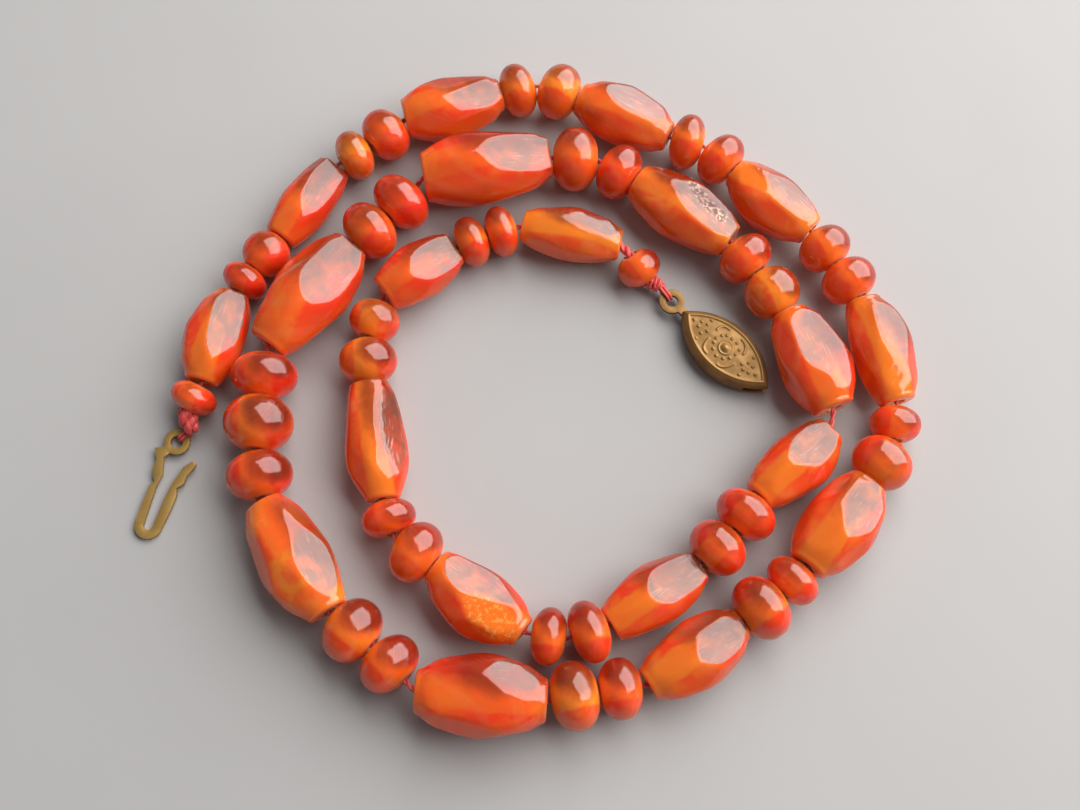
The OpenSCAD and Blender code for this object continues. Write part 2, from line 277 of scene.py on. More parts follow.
# A ray that meets a cut more flatly than this is left uncut (at the farthest distance), and no
# cut comes nearer to the bore than this
MIN_SLOPE, FARTHEST, NEAREST = 0.02, 1e3, 0.3
# Faces drawn round each end of a barrel, and the ranges of their lean, of their roll about even
# places, and of their depth as a share of the half width
FACES_ROUND = 6
LEAN_RANGE, ROLL_RANGE, DEPTH_RANGE = (10, 15), (-7, 7), (0.05, 0.10)

# Height and size of the waves that hand polish leaves
BARREL_WAVES, RONDELLE_WAVES = (0.06, 3.5), (0.05, 4.5)
# Finer waves: share of the height, how much smaller they are, and what is added to the seed
FINE_SHARE, FINE_RATIO, FINE_SEED = 0.3, 2.6, 100

# World direction of the side of the stones towards the light, where they are painted in brown
# shade and made clearer, with painted glow on the other side, and how much a place along, left
# and up counts in it
SHADE_SIDE = np.array([0.40, 0.62, 0.67])
SHADE_SIDE_WEIGHTS = (0.4, 1, 1)
# Distance between the patterns of neighbouring stones
PATTERN_STEP = 40.0

# Crystals on top of one barrel: a line along the string and left of it, the half width and
# depth of their cleft, samples of the line, and the share, height and size of its roughness
DRUSE_BEAD = 39
DRUSE_LINE = [(-0.6, 2.7), (2.1, 1.7), (5.2, 1.3)]
DRUSE_WIDTH, DRUSE_DEPTH, DRUSE_SAMPLES = 0.85, 0.35, 60
CRYSTAL_BASE, CRYSTAL_HEIGHT, CRYSTAL_SIZE = 0.7, 0.6, 0.7
# Grainy patch on top of another: its middle and half size, and how fast its edge fades
GRAIN_BEAD, GRAIN_AT, GRAIN_HALF, GRAIN_FADE = 49, (-2.9, 1.3), (4.4, 2.5), 4.0


def ring_sizes(bead):
    """Stations of the CAD bead: x, left shift, half width and half height of each ring."""
    x = bead.local[:, 0]
    outer = np.hypot(bead.local[:, 1], bead.local[:, 2]) > OUTSIDE_R
    stations = []
    for at in np.unique(np.round(x[outer], 1)):
        ring = bead.local[outer & (np.abs(x - at) < RING_REACH)]
        low, high = ring.min(axis=0), ring.max(axis=0)
        middle, size = (low + high) / 2, (high - low) / 2
        if not stations or at - stations[-1][0] > RING_SPACING:
            stations.append((at, middle[1], size[1], size[2]))
    return np.array(stations)


def softened(x, xs, ys, width):
    """The line through xs and ys, carried on straight past its ends and smoothed over width."""
    offsets = np.linspace(-SOFT_REACH, SOFT_REACH, SOFT_SAMPLES)
    weights = np.exp(-2 * offsets**2)
    first_slope = (ys[1] - ys[0]) / (xs[1] - xs[0])
    last_slope = (ys[-1] - ys[-2]) / (xs[-1] - xs[-2])
    total = np.zeros_like(x)
    for offset, weight in zip(offsets, weights):
        at = x + offset * width
        y = np.interp(at, xs, ys)
        y += np.minimum(at - xs[0], 0) * first_slope
        y += np.maximum(at - xs[-1], 0) * last_slope
        total += weight * y
    return total / weights.sum()


def surface(x, radii):
    """Points of a surface given as distances from the bore, at each x (rows) and angle."""
    return np.stack([np.broadcast_to(x[:, None], radii.shape), radii * COS, radii * SIN], axis=-1)


def round_body(bead, x):
    """Distance of the uncut body from the bore: ellipses about a middle line that shifts."""
    stations = ring_sizes(bead)
    shift, half_w, half_h = (
        softened(x, stations[:, 0], stations[:, k], SOFTENING * bead.length)[:, None]
        for k in (1, 2, 3)
    )
    a = (COS / half_w) ** 2 + (SIN / half_h) ** 2
    b = -2 * COS * (shift / half_w**2)
    c = (shift / half_w) ** 2 - 1
    return (-b + np.sqrt(b * b - 4 * a * c)) / (2 * a)


def barrel_radii(bead, x, cuts):
    """Distance of the cut surface from the bore, and how far each place is on the first cut."""
    body = round_body(bead, x)
    points = surface(x, body)
    shares = [body**-CUT_SHARPNESS]
    for lean, roll, depth in cuts:
        t, r = math.radians(lean), math.radians(roll)
        normal = np.array([math.sin(t), math.cos(t) * math.sin(r), math.cos(t) * math.cos(r)])
        reach = (points @ normal).max() - depth
        slope = normal[1] * COS + normal[2] * SIN
        room = reach - x[:, None] * normal[0]
        limit = np.where(slope > MIN_SLOPE, room / np.maximum(slope, MIN_SLOPE), FARTHEST)
        shares.append(np.maximum(limit, NEAREST) ** -CUT_SHARPNESS)
    total = sum(shares)
    return total ** (-1 / CUT_SHARPNESS), shares[1] / total


def barrel_faces(row, bead):
    """The bead's own flat faces, and those drawn round each end, less where its first one is."""
    rng = np.random.default_rng(bead.number)
    half_width = np.ptp(bead.local[:, 1]) / 2
    turn = 360 / FACES_ROUND
    faces = list(row)
    lead_lean, lead_roll, _ = row[0]
    side = 1 if lead_lean >= 0 else -1
    for end in (side, -side):
        offset = lead_roll + (0 if end == side else turn / 2)
        for k in range(FACES_ROUND):
            if end == side and k == 0:
                continue
            lean = end * rng.uniform(*LEAN_RANGE)
            roll = offset + turn * k + rng.uniform(*ROLL_RANGE)
            faces.append((lean, roll, half_width * rng.uniform(*DEPTH_RANGE)))
    return faces


def uneven(bead, x, radii, height, size):
    """Hand polish: the surface sinks in waves of that size and in finer ones."""
    points = surface(x, radii).reshape(-1, 3)
    sunk = 0.5 - 0.5 * waves(points, size, bead.number)
    fine = 0.5 - 0.5 * waves(points, size / FINE_RATIO, bead.number + FINE_SEED)
    sunk += FINE_SHARE * fine
    return radii - height * sunk.reshape(radii.shape)


def druse(local):
    """How far each point belongs to the crystals."""
    along = np.linspace(DRUSE_LINE[0][0], DRUSE_LINE[-1][0], DRUSE_SAMPLES)
    left = np.interp(along, *zip(*DRUSE_LINE))
    line = np.stack([along, left], axis=1)
    near = np.linalg.norm(local[:, None, :2] - line[None], axis=2).min(axis=1)
    return np.exp(-((near / DRUSE_WIDTH) ** 2)) * (local[:, 2] > 0)


def cleft(x, radii):
    """The surface with the rough cleft that the crystals line."""
    points = surface(x, radii).reshape(-1, 3)
    rough = CRYSTAL_BASE + CRYSTAL_HEIGHT * waves(points, CRYSTAL_SIZE, DRUSE_BEAD)
    sunk = DRUSE_DEPTH * druse(points) ** 2 * rough
    return radii - np.maximum(sunk, 0).reshape(radii.shape)


def grain(local):
    """How far each point belongs to the grainy patch."""
    off = (local[:, :2] - GRAIN_AT) / GRAIN_HALF
    inside = np.clip(GRAIN_FADE * (1 - np.linalg.norm(off, axis=1)), 0, 1)
    return inside * (local[:, 2] > 0)


def end_rows(sign, half, edge, outline):
    """Rings of one end, from the bore's wall outwards to the softened edge."""
    bore = BORE_R * np.ones_like(outline)
    rows = [
        (half - RIM, bore),
        (half - RIM_BEND * RIM, bore + RIM_BEND * RIM),
        (half, bore + RIM),
    ]
    if edge:
        for t in np.linspace(0, math.pi / 2, EDGE_STEPS, endpoint=False):
            rows.append((half - edge * (1 - math.cos(t)), outline - edge * (1 - math.sin(t))))
    return [(sign * at, ring) for at, ring in rows]


def stone(kind, bead, x, radii, edge, cut=None):
    """Closed bead mesh: the body, its ends and the bore, with what its material needs to know.

    Its second material is the one of the bore's wall.
    """
    rows = end_rows(-1, bead.half, edge, radii[0])
    rows += list(zip(x, radii))
    rows += end_rows(1, bead.half, edge, radii[-1])[::-1]
    local = surface(np.array([at for at, _ in rows]), np.array([ring for _, ring in rows]))
    local = local.reshape(-1, 3)
    name = f"bead_{bead.number:02d}_{kind}"
    obj = make_mesh(name, bead.world(local), ring_faces(len(rows), AROUND, closed=True))
    for face in obj.data.polygons[(len(rows) - 1) * AROUND :]:
        face.material_index = 1
    # How far each point lies towards the side painted in brown shade; the other side gets painted
    # glow
    shade_side = local * SHADE_SIDE_WEIGHTS @ bead.turn @ SHADE_SIDE
    set_attribute(obj, "across", local[:, 1] / radii.max())
    set_attribute(obj, "shade_side", shade_side / radii.max())
    set_attribute(obj, "end", np.abs(local[:, 0]) - bead.half)
    set_attribute(obj, "stone", local + PATTERN_STEP * bead.number, "FLOAT_VECTOR")
    for key, value in zip(("warm", "core", "shade_and_clear"), BEAD_LOOKS[bead.number - 1]):
        set_attribute(obj, key, np.full(len(local), value))
    if cut is not None:
        rest = (len(rows) - len(cut)) // 2
        set_attribute(obj, "cut", np.pad(cut, ((rest, rest), (0, 0)), "edge"))
    if bead.number == DRUSE_BEAD:
        set_attribute(obj, "druse", druse(local))
    if bead.number == GRAIN_BEAD:
        set_attribute(obj, "grain", grain(local))
    return obj


def barrel(bead, row):
    """A long bead, round in the middle, cut in flat faces and softened at the ends."""
    x = np.linspace(-bead.half + EDGE, bead.half - EDGE, BARREL_RINGS)
    radii, cut = barrel_radii(bead, x, barrel_faces(row, bead))
    radii = uneven(bead, x, radii, *BARREL_WAVES)
    if bead.number == DRUSE_BEAD:
        radii = cleft(x, radii)
    return stone("barrel", bead, x, radii, EDGE, cut)


def rondelle(bead):
    """A round spheroid, cut flat where its lip meets the next bead."""
    r_max = np.hypot(bead.local[:, 1], bead.local[:, 2]).max()
    body_half = bead.half / math.sqrt(1 - (LIP_R / r_max) ** 2)
    steps = np.linspace(-1, 1, RONDELLE_RINGS)
    x = body_half * np.sin(steps * math.asin(bead.half / body_half))
    profile = r_max * (1 - np.abs(x / body_half) ** FULLNESS) ** (1 / FULLNESS)
    radii = np.repeat(np.maximum(profile, LIP_R)[:, None], AROUND, axis=1)
    radii = uneven(bead, x, radii, *RONDELLE_WAVES)
    return stone("rondelle", bead, x, radii, 0.0)


# Silk

# Turn of the fibres round a strand, in radians a millimetre, and how drawn out their pattern is
FIBRE_TURN, FIBRE_STRETCH = 3.0, 0.25
# How far an easing's bell reaches, in widths
BELL_REACH = 2.5
# Keeps the first direction across a line defined where the line runs straight up
TILT = 0.01

# Thread: where it starts inside the first bead, step and easing of its line, pitch and sides of
# its two plies, their spread and radius in the beads, what both gain where they show between the
# last two beads, and how far that reaches
THREAD_START = 0.6
THREAD_STEP, THREAD_EASE = 0.3, 0.45
THREAD_PITCH, THREAD_SIDES = 2.6, 6
THREAD_SPREAD, THREAD_R = 0.18, 0.20
SHOWN_SPREAD, SHOWN_R, SHOWN_REACH = 0.18, 0.15, 2.2

# Loose strands, in the loops and the wrapping of a knot
STRAND_R, STRAND_SIDES = 0.2, 8
# Loop round an eyelet's rim: distance from the eyelet's centre, height above its underside
LOOP = [
    (2.65, 1.10), (2.10, 1.02), (1.40, 0.96), (0.80, 0.94), (0.46, 0.60), (0.48, 0.10),
    (0.66, -0.27), (1.20, -0.29), (1.85, -0.29), (2.20, 0.00), (2.30, 0.45), (2.60, 0.80),
]
LOOP_STEP, LOOP_EASE, LOOP_OFFSET = 0.12, 0.18, 0.22
# Knots: how far inside the bead they start, their plies, and the power of a sine they swell with
KNOT_START, KNOT_PLIES, KNOT_SWELL = 1.2, 3, 1.2


class Knot(NamedTuple):
    """A knot between the mouth of a bead's bore and the eyelet that its loops go round."""

    eyelet: tuple  # middle of its underside
    heading: float  # of the loops, seen from the eyelet
    from_mouth: list  # points of the knot, as seen from the mouth
    from_eyelet: list  # and as seen from the eyelet
    step: float
    ease: float
    spread: tuple  # of the plies, at the ends and in the middle
    radius: tuple  # likewise
    pitch: float
    sides: int
    wrapping: tuple = ()  # its start and end as shares of the knot, step, radius and pitch


HOOK_KNOT = Knot(
    eyelet=(-47.61, -8.18, 0.55),
    heading=40,
    from_mouth=[(0.25, -1.3, -0.25), (0.55, -2.6, -0.75)],
    from_eyelet=[(2.2, 1.75, 1.05)],
    step=0.15,
    ease=0.35,
    spread=(0.40, 0.80),
    radius=(0.42, 0.66),
    pitch=4.4,
    sides=12,
)
CLASP_KNOT = Knot(
    eyelet=(19.74, 11.90, 1.1),
    heading=127,
    from_mouth=[(0.9, -0.35, -0.1)],
    from_eyelet=[(-1.55, 2.3, 0.75), (-1.3, 1.75, 0.75)],
    step=0.12,
    ease=0.3,
    spread=(0.30, 0.48),
    radius=(0.30, 0.44),
    pitch=3.0,
    sides=10,
    wrapping=(0.35, 0.85, 0.05, 0.92, 0.62),
)


def arc_length(line):
    return np.r_[0, np.cumsum(np.linalg.norm(np.diff(line, axis=0), axis=1))]


def resampled(route, step):
    """The route in even steps of about that length."""
    route = np.asarray(route, float)
    at = arc_length(route)
    t = np.linspace(0, at[-1], max(3, int(round(at[-1] / step)) + 1))
    return np.stack([np.interp(t, at, route[:, k]) for k in range(3)], axis=1)


def eased(route, step, width):
    """The route in even steps, with its corners rounded over width, and its ends kept."""
    line = resampled(route, step)
    reach = int(math.ceil(BELL_REACH * width / step))
    weights = np.exp(-0.5 * (np.arange(-reach, reach + 1) * step / width) ** 2)
    weights /= weights.sum()
    ahead = 2 * line[0] - line[1 : reach + 1][::-1]
    behind = 2 * line[-1] - line[-reach - 1 : -1][::-1]
    padded = np.concatenate([ahead, line, behind])
    return np.stack([np.convolve(padded[:, k], weights, "valid") for k in range(3)], axis=1)


def directions(line):
    """Two directions across a line at each of its points, which don't twist round it."""
    tangents = np.gradient(line, axis=0)
    tangents /= np.linalg.norm(tangents, axis=1)[:, None]
    side = np.cross(tangents[0], UP + TILT)
    sides = []
    for t in tangents:
        side = unit(side - (side @ t) * t)
        sides.append(side)
    sides = np.array(sides)
    return sides, np.cross(tangents, sides)


def plies(line, count, spread, pitch):
    """Lines that wind round a line, like the plies of a cord."""
    a, b = directions(line)
    spread = np.broadcast_to(spread, len(line))[:, None]
    for k in range(count):
        turn = 2 * math.pi * (arc_length(line) / pitch + k / count)
        yield line + spread * (np.cos(turn)[:, None] * a + np.sin(turn)[:, None] * b)


class Strands:
    """Several round strands gathered into one piece."""

    def __init__(self):
        self.points, self.lay, self.faces = [], [], []

    def add(self, line, radius, sides):
        a, b = directions(line)
        rows = len(line)
        first = sum(len(p) for p in self.points)
        angles = np.linspace(0, 2 * math.pi, sides, endpoint=False)
        cos, sin = np.cos(angles)[None, :, None], np.sin(angles)[None, :, None]
        out = np.broadcast_to(radius, rows)[:, None, None] * (cos * a[:, None] + sin * b[:, None])
        self.points.append((line[:, None] + out).reshape(-1, 3))
        # Where the fibres run: they wind round the strand, so the pattern is turned along it
        along = np.repeat(arc_length(line)[:, None], sides, axis=1)
        turn = angles[None, :] + along * FIBRE_TURN
        lay = np.stack([np.cos(turn), np.sin(turn), FIBRE_STRETCH * along + first], axis=-1)
        self.lay.append(lay.reshape(-1, 3))
        faces = ring_faces(rows, sides, closed=False)
        faces.append(tuple(range(sides))[::-1])
        faces.append(tuple((rows - 1) * sides + k for k in range(sides)))
        self.faces += [tuple(first + corner for corner in face) for face in faces]

    def build(self, name):
        obj = make_mesh(name, np.concatenate(self.points), self.faces)
        set_attribute(obj, "stone", np.concatenate(self.lay), "FLOAT_VECTOR")
        return obj


def thread_piece(beads):
    """Two plies through every bead, thicker where they show between the last two."""
    first = beads[0]
    route = [first.on_bore(THREAD_START - first.half), first.on_bore(first.half)]
    for bead in beads[1:]:
        route += [bead.on_bore(-bead.half), bead.on_bore(bead.half)]
    line = eased(route, THREAD_STEP, THREAD_EASE)
    gap = (route[-3] + route[-2]) / 2
    shown = np.exp(-(np.linalg.norm(line - gap, axis=1) / SHOWN_REACH) ** 4)
    strands = Strands()
    for ply in plies(line, 2, THREAD_SPREAD + SHOWN_SPREAD * shown, THREAD_PITCH):
        strands.add(ply, THREAD_R + SHOWN_R * shown, THREAD_SIDES)
    return strands.build("silk_thread")


def eyelet_loop(strands, knot, offset):
    """A strand from the knot down through an eyelet and back under its rim."""
    heading = math.radians(knot.heading)
    out = np.array([math.cos(heading), math.sin(heading), 0.0])
    side = np.array([-out[1], out[0], 0.0])
    route = [np.array(knot.eyelet) + r * out + h * UP + offset * side for r, h in LOOP]
    strands.add(eased(route, LOOP_STEP, LOOP_EASE), STRAND_R, STRAND_SIDES)


def swelling(line, ends, middle):
    """A size at each point of a line, from one at its ends to another in its middle."""
    t = arc_length(line)
    return ends + (middle - ends) * np.sin(math.pi * t / t[-1]) ** KNOT_SWELL


def knot_piece(name, knot, bead, end):
    """The knot at that end (-1 or 1) of a bead."""
    mouth = bead.on_bore(end * bead.half)
    route = [bead.on_bore(end * (bead.half - KNOT_START)), mouth]
    route += [mouth + point for point in knot.from_mouth]
    route += [np.array(knot.eyelet) + point for point in knot.from_eyelet]
    line = eased(route, knot.step, knot.ease)
    strands = Strands()
    for ply in plies(line, KNOT_PLIES, swelling(line, *knot.spread), knot.pitch):
        strands.add(ply, swelling(line, *knot.radius), knot.sides)
    if knot.wrapping:
        low, high, step, radius, pitch = knot.wrapping
        wrapped = line[int(low * len(line)) : int(high * len(line))]
        for ply in plies(resampled(wrapped, step), 1, radius, pitch):
            strands.add(ply, STRAND_R, STRAND_SIDES)
    for offset in (-LOOP_OFFSET, LOOP_OFFSET):
        eyelet_loop(strands, knot, offset)
    return strands.build(name)


# Clasp cover

CLASP_AT, CLASP_HEADING = (26.70, 4.58), -45
# The shell's plan lies between two arcs
SHELL_L, SHELL_W, SHELL_H = 15.8, 7.7, 2.8
SIDE_R = ((SHELL_L / 2) ** 2 + (SHELL_W / 2) ** 2) / SHELL_W
SIDE_SHIFT = SIDE_R - SHELL_W / 2
# Cover: points along and across it, how far it stops short of the tips, its rounded edge, its
# height above the flat top, the height of its dome, and how far in it reaches that
COVER_POINTS = (261, 121)
COVER_SHORT, COVER_EDGE, COVER_GAP = 0.02, 0.7, 0.03
DOME_H, DOME_REACH = 0.22, 3.6
# The hem under the edge: its width as a share, and its depth
HEM_SHARE, HEM_DEPTH = 0.95, 0.06
# Ornament: heights, half widths, and how far the border is from the edge and the ring from the
# centre
BORDER_H, BORDER_W, BORDER_AT = 0.15, 0.17, 0.78
DOT_H, DOT_W = 0.15, 0.19
ARC_H, ARC_W, ARC_SAMPLES = 0.14, 0.15, 25
BOSS_H, BOSS_W = 0.34, 0.55
RING_H, RING_W, RING_AT = 0.10, 0.12, 0.95
# Height from which the ornament has its full polish
POLISHED_H = 0.14
# Places of the dots, and three points of each arc, as x towards the tip and y to its left
CLASP_DOTS = [
    (-1.54, 0.97), (-1.05, 1.45), (-0.24, 1.57), (0.66, 1.60), (-1.90, 0.14), (-1.67, -0.57),
    (-1.14, -1.30), (-0.17, -1.73), (0.79, -1.39), (1.38, -0.73), (1.63, 0.23), (1.55, 1.08),
    (-5.84, 0.00), (-4.90, 0.52), (-4.78, -0.30), (-4.04, 0.75), (-3.87, -0.81), (-3.43, 0.00),
    (-4.05, 1.61), (-3.86, -1.82), (3.70, 1.67), (3.70, 0.58), (3.19, -0.16), (4.47, 0.58),
    (3.81, -0.62), (4.62, -0.43), (5.47, 0.00), (3.89, -1.55),
]
CLASP_ARCS = [
    [(-2.62, 1.15), (-2.33, 2.07), (-1.44, 2.33)],
    [(-2.53, -0.65), (-2.25, -1.94), (-1.43, -2.37)],
    [(0.83, -2.59), (1.72, -2.17), (2.30, -0.97)],
    [(0.83, 2.45), (1.80, 2.10), (2.35, 1.05)],
]


def bell(distance, height, width, power=2):
    """Height of a raised mark, at a distance from its middle."""
    return height * np.exp(-((distance / width) ** power))


def arc_distance(p, through):
    """Distance of each point from a curve through three points."""
    a, b, c = (np.array(q) for q in through)
    near = np.full(p.shape[:-1], np.inf)
    for t in np.linspace(0, 1, ARC_SAMPLES):
        q = (1 - t) ** 2 * a + 2 * t * (1 - t) * (2 * b - (a + c) / 2) + t * t * c
        near = np.minimum(near, np.linalg.norm(p - q, axis=-1))
    return near


def ornament(p, inset):
    """Height of the embossing at each point of the plan, given its distance from the edge."""
    centre = np.linalg.norm(p, axis=-1)
    marks = [
        bell(inset - BORDER_AT, BORDER_H, BORDER_W),
        bell(centre, BOSS_H, BOSS_W, 2.5),
        bell(centre - RING_AT, RING_H, RING_W),
    ]
    marks += [bell(np.linalg.norm(p - dot, axis=-1), DOT_H, DOT_W, 3) for dot in CLASP_DOTS]
    marks += [bell(arc_distance(p, arc), ARC_H, ARC_W) for arc in CLASP_ARCS]
    return np.max(marks, axis=0)


def clasp_cover():
    """The embossed skin of the clasp's top, with a hem below its edge."""
    x = (SHELL_L / 2 - COVER_SHORT) * np.linspace(-1, 1, COVER_POINTS[0])
    half = np.sqrt(SIDE_R**2 - x**2) - SIDE_SHIFT
    y = half[:, None] * np.linspace(-1, 1, COVER_POINTS[1])
    p = np.stack([np.broadcast_to(x[:, None], COVER_POINTS), y], axis=-1)
    sides = (np.hypot(p[..., 0], y + SIDE_SHIFT), np.hypot(p[..., 0], y - SIDE_SHIFT))
    inset = SIDE_R - np.maximum(*sides)
    raised = ornament(p, inset)
    round_off = 1 - np.clip(inset / COVER_EDGE, 0, 1)
    base = SHELL_H - COVER_EDGE
    z = base + COVER_EDGE * np.sqrt(1 - round_off**2) + COVER_GAP
    z += DOME_H * np.clip(inset / DOME_REACH, 0, 1)
    z += raised
    local = np.concatenate([p, z[..., None]], axis=-1)
    hem = local[:, [0, -1]].copy()
    hem[..., 1] *= HEM_SHARE
    hem[..., 2] = base - HEM_DEPTH
    local = np.concatenate([hem[:, :1], local, hem[:, 1:]], axis=1)
    turn = math.radians(CLASP_HEADING)
    world = local.copy()
    world[..., 0] = CLASP_AT[0] + local[..., 0] * math.cos(turn) - local[..., 1] * math.sin(turn)
    world[..., 1] = CLASP_AT[1] + local[..., 0] * math.sin(turn) + local[..., 1] * math.cos(turn)
    rows, columns = world.shape[:2]
    faces = [
        (i * columns + k, (i + 1) * columns + k, (i + 1) * columns + k + 1, i * columns + k + 1)
        for i in range(rows - 1) for k in range(columns - 1)
    ]
    obj = make_mesh("clasp_cover", world.reshape(-1, 3), faces)
    relief = np.pad(np.clip(raised / POLISHED_H, 0, 1), ((0, 0), (1, 1)))
    set_attribute(obj, "relief", relief.ravel())
    return obj


# Rounding of the metal's edges: its widths, its segments, and the least turn of such an edge.
# Points are merged first, within this distance in metres.
HOOK_EDGE, SHELL_EDGE = 0.12, 0.18
BEVEL_SEGMENTS, BEVEL_ANGLE = 3, 30
WELD = 0.000001


def soften_edges(obj, width):
    """Round a CAD node's sharp edges with modifiers, which leave its mesh as it is."""
    weld = obj.modifiers.new("weld", "WELD")
    weld.merge_threshold = WELD
    bevel = obj.modifiers.new("bevel", "BEVEL")
    bevel.width = width * MM
    bevel.segments = BEVEL_SEGMENTS
    bevel.limit_method = "ANGLE"
    bevel.angle_limit = math.radians(BEVEL_ANGLE)
    bevel.harden_normals = True
    for face in obj.data.polygons:
        face.use_smooth = True


# Materials

# Carnelian, from its colours in the stone to those of its ground faces and its flaws
RED = (0.98, 0.034, 0.010)
ORANGE = (1.0, 0.112, 0.012)
AMBER = (1.0, 0.34, 0.026)
PALE = (1.0, 0.205, 0.015)
# Painted shade: the brown laid on the side of the stones towards the light
SHADE_BROWN = (0.28, 0.042, 0.018)
MILK = (1.0, 0.32, 0.15)
DEEP = (0.62, 0.032, 0.013)
FROST = (0.25, 0.110, 0.078)
STROKE = (0.47, 0.28, 0.225)
CRYSTAL = (0.92, 0.66, 0.48)
CLEFT = (0.20, 0.045, 0.020)
SUGAR = (1.0, 0.42, 0.08)
ABSORBED, DENSITY = (0.995, 0.58, 0.10, 1.0), 110.0
SCATTER_RADII = (1.0, 0.25, 0.06)

# Patterns of noise (scale, detail, roughness and, where it has one, distortion) and of waves
# (scale, distortion, detail and detail scale)
CLOUD = (0.28, 3.0, 0.55, 0.6)
BANDS = (0.10, 6.0, 2.0, 0.6)
STROKES = (0.5, 12.0, 3.0, 0.4)
GROOVES, GROOVE_STRETCH, GROOVE_TURN = (1.0, 3.0, 0.6, 0.5), (0.35, 4.5, 1.2), (0.3, 0.2, 0.9)
SPECKS = (2.0, 2.0, 0.6)
GRAINS = (1.7, 4.0, 0.7)
FIBRE = (2.2, 4.0, 0.65)
STAIN = (350.0, 5.0, 0.62)
BRASS_GRAIN = (4200.0, 3.0, 0.6)
MOTTLE = (40.0, 3.0)

# The others, each from dark to light
BORE_WALL = (1.0, 0.60, 0.16), (1.0, 0.74, 0.28)
SILK = (0.40, 0.016, 0.020), (0.98, 0.150, 0.130)
SHELL_BRASS = (0.200, 0.106, 0.033), (0.300, 0.168, 0.056)
HOOK_BRASS = (0.39, 0.235, 0.064), (0.51, 0.32, 0.098)
POLISHED_BRASS = (0.46, 0.265, 0.090)
TARNISH = (0.12, 0.07, 0.03)
FLOOR = (0.370, 0.367, 0.364), (0.395, 0.391, 0.387)


class Nodes:
    """Short ways to build a node tree."""

    def __init__(self, name):
        self.material = bpy.data.materials.new(name)
        self.material.use_nodes = True
        self.tree = self.material.node_tree
        self.tree.nodes.clear()
        self.shader = self.tree.nodes.new("ShaderNodeBsdfPrincipled")
        self.output = self.tree.nodes.new("ShaderNodeOutputMaterial")
        self.link(self.shader.outputs[0], self.output.inputs["Surface"])

    def link(self, a, b):
        self.tree.links.new(a, b)

    def put(self, socket, value):
        if isinstance(value, bpy.types.NodeSocket):
            self.link(value, socket)
        else:
            socket.default_value = value

    def attribute(self, name, output="Fac"):
        node = self.tree.nodes.new("ShaderNodeAttribute")
        node.attribute_name = name
        return node.outputs[output]

    def coordinates(self):
        return self.tree.nodes.new("ShaderNodeTexCoord").outputs["Object"]

    def math(self, operation, a, b=0.0):
        node = self.tree.nodes.new("ShaderNodeMath")
        node.operation = operation
        for socket, value in zip(node.inputs, (a, b)):
            self.put(socket, value)
        return node.outputs[0]

    def add(self, a, b):
        return self.math("ADD", a, b)

    def multiply(self, a, b):
        return self.math("MULTIPLY", a, b)

    def ramp(self, value, low, high, to_low=0.0, to_high=1.0, smooth=True):
        """The value, taken from between low and high to between to_low and to_high."""
        node = self.tree.nodes.new("ShaderNodeMapRange")
        node.interpolation_type = "SMOOTHSTEP" if smooth else "LINEAR"
        for socket, v in zip(node.inputs, (value, low, high, to_low, to_high)):
            self.put(socket, v)
        return node.outputs[0]

    def mix(self, fac, a, b):
        node = self.tree.nodes.new("ShaderNodeMix")
        node.data_type = "RGBA"
        self.put(node.inputs[0], fac)
        for socket, value in ((node.inputs[6], a), (node.inputs[7], b)):
            self.put(socket, (*value, 1.0) if isinstance(value, tuple) else value)
        return node.outputs[2]

    def noise(self, vector, scale, detail=2.0, roughness=0.5, distortion=0.0):
        node = self.tree.nodes.new("ShaderNodeTexNoise")
        self.link(vector, node.inputs["Vector"])
        node.inputs["Scale"].default_value = scale
        node.inputs["Detail"].default_value = detail
        node.inputs["Roughness"].default_value = roughness
        node.inputs["Distortion"].default_value = distortion
        return node.outputs["Fac"]

    def wave(self, vector, scale, distortion, detail, detail_scale):
        node = self.tree.nodes.new("ShaderNodeTexWave")
        self.link(vector, node.inputs["Vector"])
        node.inputs["Scale"].default_value = scale
        node.inputs["Distortion"].default_value = distortion
        node.inputs["Detail"].default_value = detail
        node.inputs["Detail Scale"].default_value = detail_scale
        node.bands_direction = "DIAGONAL"
        return node.outputs["Fac"]

    def stretched(self, vector, scale, turn):
        """The vector scaled and then turned (radians), for a pattern that is drawn out."""
        node = self.tree.nodes.new("ShaderNodeMapping")
        self.link(vector, node.inputs["Vector"])
        node.inputs["Scale"].default_value = scale
        node.inputs["Rotation"].default_value = turn
        return node.outputs[0]

    def bump(self, height, strength, distance):
        node = self.tree.nodes.new("ShaderNodeBump")
        node.inputs["Strength"].default_value = strength
        node.inputs["Distance"].default_value = distance
        self.link(height, node.inputs["Height"])
        self.link(node.outputs[0], self.shader.inputs["Normal"])

    def absorb(self, colour, density):
        volume = self.tree.nodes.new("ShaderNodeVolumeAbsorption")
        volume.inputs["Color"].default_value = colour
        volume.inputs["Density"].default_value = density
        self.link(volume.outputs[0], self.output.inputs["Volume"])

    def set(self, **values):
        """Set inputs of the shader, named with underscores in place of spaces."""
        for key, value in values.items():
            self.put(self.shader.inputs[key.replace("_", " ")], value)


